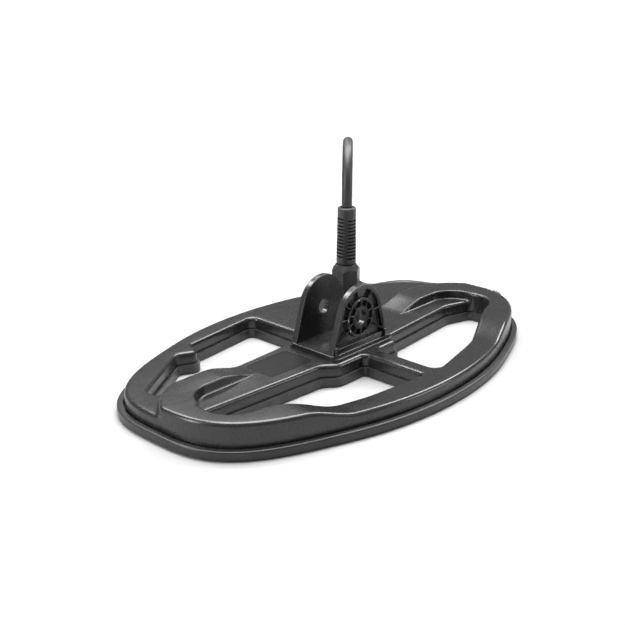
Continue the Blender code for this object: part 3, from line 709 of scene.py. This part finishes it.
def skid_plate():
    """Wear plate under the head, with a lip round its outside and round each window."""
    outer = head_outline(0)
    lip = head_outline(SKID_LIP_WIDTH)
    holes = [rounded(shifted(corners, -WINDOW_LIP - GAP)) for corners in WINDOWS]
    lips = [rounded(shifted(corners, -GAP)) for corners in WINDOWS]
    rings = [head_outline(inset) for inset in (*SKID_RINGS, SKID_LIP_WIDTH - SKID_LIP_RING)]
    spots, triangles = triangulated([outer, lip, *holes, *lips, *rings])
    middles = spots[triangles].mean(axis=1)
    kept = inside_many(outer, middles) & ~inside_any(holes, middles)
    on_lip = ~inside_many(lip, middles) | inside_any(lips, middles)
    dropped = round_over(edge_distance([outer], spots), SKID_ROUND)
    top = np.full((len(triangles), 3), SKID_FLOOR)
    top[on_lip] = (SKID_LIP - dropped)[triangles][on_lip]
    bottom = dropped[triangles]
    made, faces = stepped_solid(spots, triangles, kept, top, bottom)
    piece = place("skid_shell", made, faces, "skid")
    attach(piece, "skid")
    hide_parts("skid_plate")


# ---------- shaft bracket ----------

def ear_outline():
    """The ear's outline about the pivot line: a dome on a foot that widens downwards."""
    foot = PLINTH_TOP - EAR_SUNK
    drop = EAR_CENTRE - foot
    lean = math.atan2(EAR_FOOT_HALF - EAR_RADIUS, drop)
    points = [(-EAR_FOOT_HALF, foot), (EAR_FOOT_HALF, foot)]
    for step in range(EAR_DOME_STEPS + 1):
        angle = lean + (math.pi - 2 * lean) * step / EAR_DOME_STEPS
        points.append((EAR_RADIUS * math.cos(angle), EAR_CENTRE + EAR_RADIUS * math.sin(angle)))
    return points


def inner_rim(outline):
    """The outline moved inwards by the rim's width."""
    corners = [(x, y, LEAST_RADIUS) for x, y in outline]
    return [(x, y) for x, y, _ in shifted(corners, -EAR_RIM)]


def rib(angle, start, end):
    """Long thin rectangle that runs outwards from the pivot."""
    way = Vector((math.cos(angle), math.sin(angle)))
    side = Vector((-way.y, way.x)) * RIB_HALF
    centre = Vector((0, PIVOT_HEIGHT))
    a = centre + way * start
    b = centre + way * end
    return [tuple(a - side), tuple(b - side), tuple(b + side), tuple(a + side)]


def ear_ribs():
    """Outlines of the ribs: inside the boss's ring, and from the ring to the rim."""
    ribs = []
    for i in range(INNER_RIBS):
        angle = 2 * math.pi * (i + 0.5) / INNER_RIBS
        ribs.append(rib(angle, BOSS_INNER - RIB_OVERLAP, BOSS_OUTER[0] + RIB_OVERLAP))
    for degrees in OUTER_RIB_ANGLES:
        ribs.append(rib(math.radians(degrees), BOSS_OUTER[1] - OUTER_RIB_OVERLAP, OUTER_RIB_END))
    return ribs


def ear(name, matrix):
    """One ear, 0 at its plain face, with the rim, boss and ribs standing outwards."""
    outline = ear_outline()
    rim = inner_rim(outline)
    radii = (PIVOT_HOLE, BOSS_INNER, *BOSS_OUTER)
    hole, boss, ring_in, ring_out = (circle(0, PIVOT_HEIGHT, radius, 48) for radius in radii)
    ribs = ear_ribs()
    bar = [(-EAR_FOOT_HALF, EAR_BAR_TOP), (EAR_FOOT_HALF, EAR_BAR_TOP)]
    spots, triangles = triangulated([outline, rim, hole, boss, ring_in, ring_out, *ribs], [bar])
    middles = spots[triangles].mean(axis=1)
    kept = inside_many(outline, middles) & ~inside_many(hole, middles)
    raised = ~inside_many(rim, middles) | (middles[:, 1] < EAR_BAR_TOP)
    raised |= inside_many(ring_out, middles) & ~inside_many(ring_in, middles)
    raised |= inside_any([boss, *ribs], middles)
    top = np.full((len(triangles), 3), EAR_WEB)
    top[raised] = EAR_THICKNESS
    bottom = np.zeros((len(triangles), 3))
    made, faces = stepped_solid(spots, triangles, kept, top, bottom)
    piece = place(name, made, faces, "shell", matrix)
    soften(piece, EAR_ROUND)
    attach(piece, "head")
    return piece


def gusset(name, side):
    """Small block that stiffens the near ear where its face meets the bar."""
    x = BRACKET_X + side * (EAR_FOOT_HALF - GUSSET_FROM_END)
    y = NEAR_EAR_FACE - EAR_THICKNESS
    loop = rectangle(x - GUSSET_HALF, x + GUSSET_HALF, y - GUSSET_OUT, y + GUSSET_IN, GUSSET_CORNER)
    spots, triangles = triangulated([loop])
    middles = spots[triangles].mean(axis=1)
    top = np.full((len(triangles), 3), EAR_BAR_TOP + GUSSET_RISE)
    bottom = np.full((len(triangles), 3), PLINTH_TOP - GUSSET_SUNK)
    points, faces = stepped_solid(spots, triangles, inside_many(loop, middles), top, bottom)
    piece = place(name, points, faces, "shell")
    soften(piece, GUSSET_ROUND)
    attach(piece, "head")
    return piece


def plinth_rings():
    """Outlines of the bracket's foot with their heights, upwards: a step on three sides, then the top."""
    x0, x1, y0, y1 = PLINTH
    turn = []
    for angle in np.linspace(0, math.pi / 2, PLINTH_ROUND_STEPS):
        turn.append((PLINTH_ROUND * (1 - math.cos(angle)), PLINTH_ROUND * (1 - math.sin(angle))))
    rings = []
    for inset, height in [(0, PLINTH_BOTTOM)] + [(inset, PLINTH_STEP_TOP - drop) for inset, drop in turn]:
        step = PLINTH_STEP - inset
        outline = rectangle(x0, x1 + step, y0 - step, y1 + step, PLINTH_STEP_CORNER - inset)
        rings.append((outline, height))
    for inset, height in [(0, PLINTH_STEP_TOP)] + [(inset, PLINTH_TOP - drop) for inset, drop in turn]:
        outline = rectangle(x0 + inset, x1 - inset, y0 + inset, y1 - inset, PLINTH_CORNER - inset)
        rings.append((outline, height))
    return rings


def plinth():
    """Bracket's foot, lofted through its rings so that its top edges are rounded."""
    rings = plinth_rings()
    count = len(rings[0][0])
    points = [(x, y, height) for outline, height in rings for x, y in outline]
    faces = [list(range(count))[::-1], list(range(len(points) - count, len(points)))]
    for low in range(0, len(points) - count, count):
        for i in range(count):
            j = (i + 1) % count
            faces.append([low + i, low + j, low + count + j, low + count + i])
    piece = place("bracket_plinth", points, faces, "shell")
    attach(piece, "head")
    return piece


def shaft_bracket():
    """Clevis for the shaft: two ears that face each other on one foot, with gussets at the near one."""
    near = Matrix(((1, 0, 0, BRACKET_X), (0, 0, -1, NEAR_EAR_FACE), (0, 1, 0, 0), (0, 0, 0, 1)))
    far = Matrix(((-1, 0, 0, BRACKET_X), (0, 0, 1, FAR_EAR_FACE), (0, 1, 0, 0), (0, 0, 0, 1)))
    pieces = [ear("bracket_ear_near", near), ear("bracket_ear_far", far), plinth()]
    pieces += [gusset("bracket_gusset_left", -1), gusset("bracket_gusset_right", 1)]
    for piece in pieces:
        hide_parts("shaft_bracket")


# ---------- gland, boot and cable ----------

def turned(name, rings, columns, slot, matrix, sharp=34.0):
    """Closed piece turned about an axis, its rings in order: up the outside and down the bore.

    Each ring gives (radius, height) at an angle.
    """
    points = []
    for ring in rings:
        for i in range(columns):
            angle = 2 * math.pi * i / columns
            radius, height = ring(angle)
            points.append((radius * math.cos(angle), radius * math.sin(angle), height))
    faces = []
    for k in range(len(rings)):
        after = (k + 1) % len(rings)
        for i in range(columns):
            j = (i + 1) % columns
            faces.append([k * columns + i, k * columns + j, after * columns + j, after * columns + i])
    return place(name, points, faces, slot, matrix, sharp)


def plain(radius, height):
    """A ring with the same radius all round."""
    return lambda angle: (radius, height)


def gland_nut():
    """Hexagonal nut whose top is turned to a cone, so that its corners have curved chamfers."""
    apothem = NUT_CORNER * math.cos(math.pi / 6)
    rim = apothem - NUT_RIM

    def hexagon(angle):
        """Distance from the nut's middle to its side at this angle."""
        return apothem / math.cos((angle + math.pi / 6) % (math.pi / 3) - math.pi / 6)

    def cone_foot(angle):
        """Where the side meets the cone: lowest at the corners."""
        return hexagon(angle), NUT_TOP - NUT_CONE * (hexagon(angle) - rim) / (NUT_CORNER - rim)

    rings = [
        lambda angle: (hexagon(angle) - NUT_EDGE, NUT_BOTTOM),
        lambda angle: (hexagon(angle), NUT_BOTTOM + NUT_EDGE),
        cone_foot, plain(rim + 0.15, NUT_TOP - 0.12), plain(rim - 0.1, NUT_TOP),
        plain(NUT_MOUTH, NUT_TOP), plain(NUT_MOUTH, NUT_MOUTH_BOTTOM),
        plain(NUT_BORE, NUT_MOUTH_BOTTOM), plain(NUT_BORE, NUT_BOTTOM),
    ]
    piece = turned("gland_nut_fine", rings, 144, "gland", Matrix.Translation((*GLAND, 0)), 24)
    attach(piece, "nut")
    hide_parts("gland_nut")


def gland_body():
    """Threaded stub with a flange, which holds the seal."""
    slope = FLANGE_RADIUS - FLANGE_ROUND
    rings = [
        plain(STEM_RADIUS, STEM_BOTTOM), plain(STEM_RADIUS, FLANGE_BOTTOM),
        plain(slope, FLANGE_BOTTOM), plain(FLANGE_RADIUS, FLANGE_BOTTOM + FLANGE_ROUND),
        plain(FLANGE_RADIUS, FLANGE_TOP - FLANGE_ROUND), plain(slope, FLANGE_TOP),
    ]
    for k in range(THREAD_RINGS):
        rings.append(plain(THREAD_RADIUS - THREAD_DEPTH * (k % 2), FLANGE_TOP + THREAD_RISE * k))
    rings += [plain(*THREAD_END), plain(GLAND_BORE, THREAD_END[1]), plain(GLAND_BORE, STEM_BOTTOM)]
    piece = turned("gland_body_fine", rings, 64, "gland", Matrix.Translation((*GLAND, 0)))
    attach(piece, "head")
    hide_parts("gland_body")


def boot_outside(height):
    """Outer radius of the boot, which tapers upwards."""
    return BOOT_FOOT - BOOT_TAPER * (height - BOOT_NECK_TOP)


def boot_bands():
    """The boot as bands one on another: levels between them, and each band's outside, bore and cut.

    The outside is the radius at the band's foot and at its top. The cut says which quarters have a slot.
    """
    low_neck, high_neck = BOOT_NECK
    levels = [BOOT_BOTTOM, *BOOT_NECK_LEVELS, BOOT_NECK_TOP]
    bands = [
        ((low_neck, low_neck), BOOT_BORE, None),
        ((high_neck, high_neck), BOOT_BORE, None),
        ((high_neck, boot_outside(BOOT_NECK_TOP)), BOOT_BORE, None),
    ]
    neck = len(bands)
    rise = (SLOT_LAST - SLOT_FIRST) / SLOT_ROWS / 2
    levels += [SLOT_FIRST + half_row * rise for half_row in range(2 * SLOT_ROWS + 1)]
    levels += [BOOT_TOP - BOOT_TOP_ROUND, BOOT_TOP]
    for band in range(neck, len(levels) - 1):
        outside = (boot_outside(levels[band]), boot_outside(levels[band + 1]))
        if neck < band <= neck + 2 * SLOT_ROWS:
            bands.append((outside, SLOT_BORE, band % 2))
        else:
            bands.append((outside, BOOT_BORE, None))
    foot = bands[-1][0][0]
    bands[-1] = ((foot, foot - BOOT_TOP_ROUND), BOOT_BORE, None)
    return levels, bands


def boot_kept(column, cut):
    """Whether the boot's wall is there in this column of a band, or a slot goes through it."""
    angle = 360 * (column % BOOT_COLUMNS + 0.5) / BOOT_COLUMNS - BRIDGE_ANGLE
    from_bridge = abs((angle + 45) % 90 - 45)
    quarter = math.floor(angle / 90) % 2
    return cut is None or cut != quarter or from_bridge < BRIDGE_HALF


def strain_relief():
    """Boot with slots right through its wall, in quarters that take turns, between four upright bridges."""
    levels, bands = boot_bands()
    points = []
    number = {}
    faces = []

    def vertex(column, level, radius):
        """Number of the vertex here, which is made when first asked for."""
        key = (column % BOOT_COLUMNS, level, round(radius, 3))
        if key not in number:
            number[key] = len(points)
            angle = 2 * math.pi * column / BOOT_COLUMNS
            points.append((radius * math.cos(angle), radius * math.sin(angle), levels[level]))
        return number[key]

    def kept(column, band):
        """Whether the wall is there in this column of this band."""
        return 0 <= band < len(bands) and boot_kept(column, bands[band][2])

    def add_sides(column, band):
        """The wall's outside and bore, and its ends where a slot begins."""
        (low, high), bore, _ = bands[band]
        ahead = column + 1
        faces.append([vertex(column, band, low), vertex(ahead, band, low),
                      vertex(ahead, band + 1, high), vertex(column, band + 1, high)])
        faces.append([vertex(column, band, bore), vertex(column, band + 1, bore),
                      vertex(ahead, band + 1, bore), vertex(ahead, band, bore)])
        for side, beside in ((column, column - 1), (ahead, ahead)):
            if not kept(beside, band):
                wall = [vertex(side, band, low), vertex(side, band + 1, high),
                        vertex(side, band + 1, bore), vertex(side, band, bore)]
                faces.append(wall if side == column else wall[::-1])

    def add_flats(column, band):
        """The level faces under and over the wall, where the next band doesn't cover them."""
        (low, high), bore, _ = bands[band]
        ahead = column + 1
        for level, beside, outside in ((band, band - 1, low), (band + 1, band + 1, high)):
            spans = [(bore, outside)]
            if kept(column, beside):
                other_outside, other_bore, _ = bands[beside]
                spans = [(bore, other_bore), (other_outside[1 if beside < band else 0], outside)]
            for start, end in spans:
                if end > start + 1e-6:
                    flat = [vertex(column, level, start), vertex(ahead, level, start),
                            vertex(ahead, level, end), vertex(column, level, end)]
                    faces.append(flat if level == band else flat[::-1])

    for band in range(len(bands)):
        for column in range(BOOT_COLUMNS):
            if kept(column, band):
                add_sides(column, band)
                add_flats(column, band)
    piece = place("boot_fine", points, faces, "boot", Matrix.Translation((*GLAND, 0)), 40)
    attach(piece, "head")
    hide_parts("strain_relief")


def knurled(radius, height):
    """A ring cut with upright ridges."""
    return lambda angle: (radius - KNURL_DEPTH * (0.5 + 0.5 * math.cos(KNURL_RIDGES * angle)), height)


def plug_body(stand):
    """Over-moulded plug with grip grooves, closed round its contact insert."""
    rings = [plain(1.0, 0.0), plain(3.4, 0.0), plain(3.7, 0.3), plain(4.3, 3.0), plain(GRIP_RADIUS, 7.0)]
    for groove in range(GRIP_GROOVES):
        low = GRIP_FIRST + GRIP_PITCH * groove
        floor_radius = GRIP_RADIUS - GRIP_DEPTH
        rings += [plain(GRIP_RADIUS, low), plain(floor_radius, low + GRIP_SLOPE)]
        rings += [plain(floor_radius, low + GRIP_WIDTH - GRIP_SLOPE), plain(GRIP_RADIUS, low + GRIP_WIDTH)]
    rings += [plain(GRIP_RADIUS, 14.6), plain(5.3, 15.2), plain(5.3, 16.8), plain(5.1, 17.0)]
    rings.append(plain(3.5, 17.0))
    rings += [plain(3.5, 22.8), plain(3.0, 22.8), plain(3.0, 24.4), plain(3.5, 24.4), plain(3.5, 26.5)]
    rings += [plain(2.7, 26.5), plain(2.7, 19.0), plain(1.0, 19.0)]
    piece = turned("plug_body_fine", rings, 64, "connector", stand)
    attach(piece, "head")
    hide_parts("connector_body")


def lock_ring(stand):
    """Knurled ring that turns on the plug."""
    rings = [plain(RING_BORE, 17.3), plain(5.1, 17.3), plain(5.4, 17.6)]
    rings += [knurled(RING_RADIUS, 18.0), knurled(RING_RADIUS, 29.4)]
    rings += [plain(5.4, 29.8), plain(5.4, 30.4), plain(5.7, 30.6), plain(5.3, 33.0), plain(4.4, 33.0)]
    rings.append(plain(RING_BORE, 27.5))
    piece = turned("lock_ring_fine", rings, 288, "ring", stand)
    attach(piece, "ring")
    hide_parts("lock_ring")


def connector():
    """The plug on the cable's end, which points along -Y on the floor."""
    stand = Matrix.Translation(CONNECTOR_AT) @ Matrix.Rotation(math.pi / 2, 4, "X")
    plug_body(stand)
    lock_ring(stand)


def cable_route():
    """Points along the cable's middle. The heading turns evenly along each leg."""
    spot = Vector((*GLAND, CABLE_START))
    heading = Vector((0, 0, 1))
    points = [spot]
    for length, last_heading in CABLE_LEGS:
        last_heading = Vector(last_heading).normalized()
        steps = round(length / CABLE_STEP)
        for step in range(steps):
            spot = spot + heading.slerp(last_heading, (step + 0.5) / steps) * (length / steps)
            points.append(spot)
        heading = last_heading
    return points[:-1] + [Vector(CABLE_END)]


def cable():
    """Free cable from the boot to the plug."""
    points = cable_route()
    curve = bpy.data.curves.new("cable", "CURVE")
    curve.dimensions = "3D"
    curve.bevel_depth = CABLE_RADIUS * MM
    curve.bevel_resolution = 8
    curve.use_fill_caps = True
    spline = curve.splines.new("POLY")
    spline.points.add(len(points) - 1)
    for point, spot in zip(points, spline.points):
        spot.co = (*(point * MM), 1.0)
    curve.materials.append(MATERIALS["cable"])
    piece = bpy.data.objects.new("cable", curve)
    bpy.context.scene.collection.objects.link(piece)
    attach(piece, "head")
    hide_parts("cable_lead")
    GLAND[0] * MM
    GLAND[1] * MM


# ---------- stage ----------

def area_light(name, place_at, aim, size, power):
    """Flat lamp turned towards the aim."""
    light = bpy.data.lights.new(name, "AREA")
    light.shape = "RECTANGLE"
    light.size, light.size_y = size
    light.energy = power
    lamp = bpy.data.objects.new(name, light)
    lamp.location = place_at
    lamp.rotation_euler = (Vector(aim) - Vector(place_at)).to_track_quat("-Z", "Y").to_euler()
    bpy.context.scene.collection.objects.link(lamp)


def studio_world():
    """Pale all round and brighter overhead, like a tent with its lamps above."""
    world = bpy.data.worlds.new("studio")
    world.use_nodes = True
    tree = world.node_tree
    direction = add_node(tree, "ShaderNodeTexCoord").outputs["Generated"]
    split = add_node(tree, "ShaderNodeSeparateXYZ")
    tree.links.new(direction, split.inputs[0])
    strength = ranged(tree, split.outputs["Z"], 0.0, 1.0, WORLD_LOW, WORLD_HIGH)
    background = tree.nodes["Background"]
    background.inputs["Color"].default_value = (1, 1, 1, 1)
    tree.links.new(strength, background.inputs["Strength"])
    bpy.context.scene.world = world


def floor():
    """Pale floor, which glows where the lamps don't reach so that it looks endless."""
    mesh = bpy.data.meshes.new("floor")
    half = FLOOR_HALF
    corners = [(-half, -half, 0), (half, -half, 0), (half, half, 0), (-half, half, 0)]
    mesh.from_pydata(corners, [], [(0, 1, 2, 3)])
    made = bpy.data.objects.new("floor", mesh)
    made.location.z = -FLOOR_DROP
    pale, tree, shader = new_material("pale floor")
    shader.inputs["Base Color"].default_value = (*FLOOR_COLOUR, 1)
    shader.inputs["Roughness"].default_value = 0.9
    shader.inputs["Emission Color"].default_value = (1, 1, 1, 1)
    distance = add_node(tree, "ShaderNodeVectorMath", operation="LENGTH")
    tree.links.new(add_node(tree, "ShaderNodeTexCoord").outputs["Object"], distance.inputs[0])
    glow = ranged(tree, distance.outputs["Value"], *FLOOR_GLOW_FROM, 0.0, FLOOR_GLOW)
    tree.links.new(glow, shader.inputs["Emission Strength"])
    mesh.materials.append(pale)
    bpy.context.scene.collection.objects.link(made)


def stage():
    """World, floor, lamps and camera."""
    studio_world()
    floor()
    for name, place_at, size, power in LAMPS:
        area_light(name, place_at, LAMPS_AIM, size, power)
    camera = bpy.data.cameras.new("camera")
    camera.lens = CAMERA_LENS
    camera.sensor_width = CAMERA_SENSOR
    eye = bpy.data.objects.new("camera", camera)
    eye.location = CAMERA_AT
    eye.rotation_euler = (math.radians(CAMERA_PITCH), 0, math.radians(CAMERA_TURN))
    bpy.context.scene.collection.objects.link(eye)
    bpy.context.scene.camera = eye
    bpy.context.scene.view_settings.view_transform = "Standard"


def dress_packed_solids():
    """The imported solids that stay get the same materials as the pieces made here."""
    slots = {entry["node"]: entry["material_slot"] for entry in frame["record"]["subparts"]}
    for name, node in frame["nodes"].items():
        node.data.materials.clear()
        node.data.materials.append(MATERIALS[slots[name]])


MATERIALS = make_materials()
dress_packed_solids()
stage()
connector()
cable()
upper_housing()
skid_plate()
shaft_bracket()
gland_nut()
gland_body()
strain_relief()
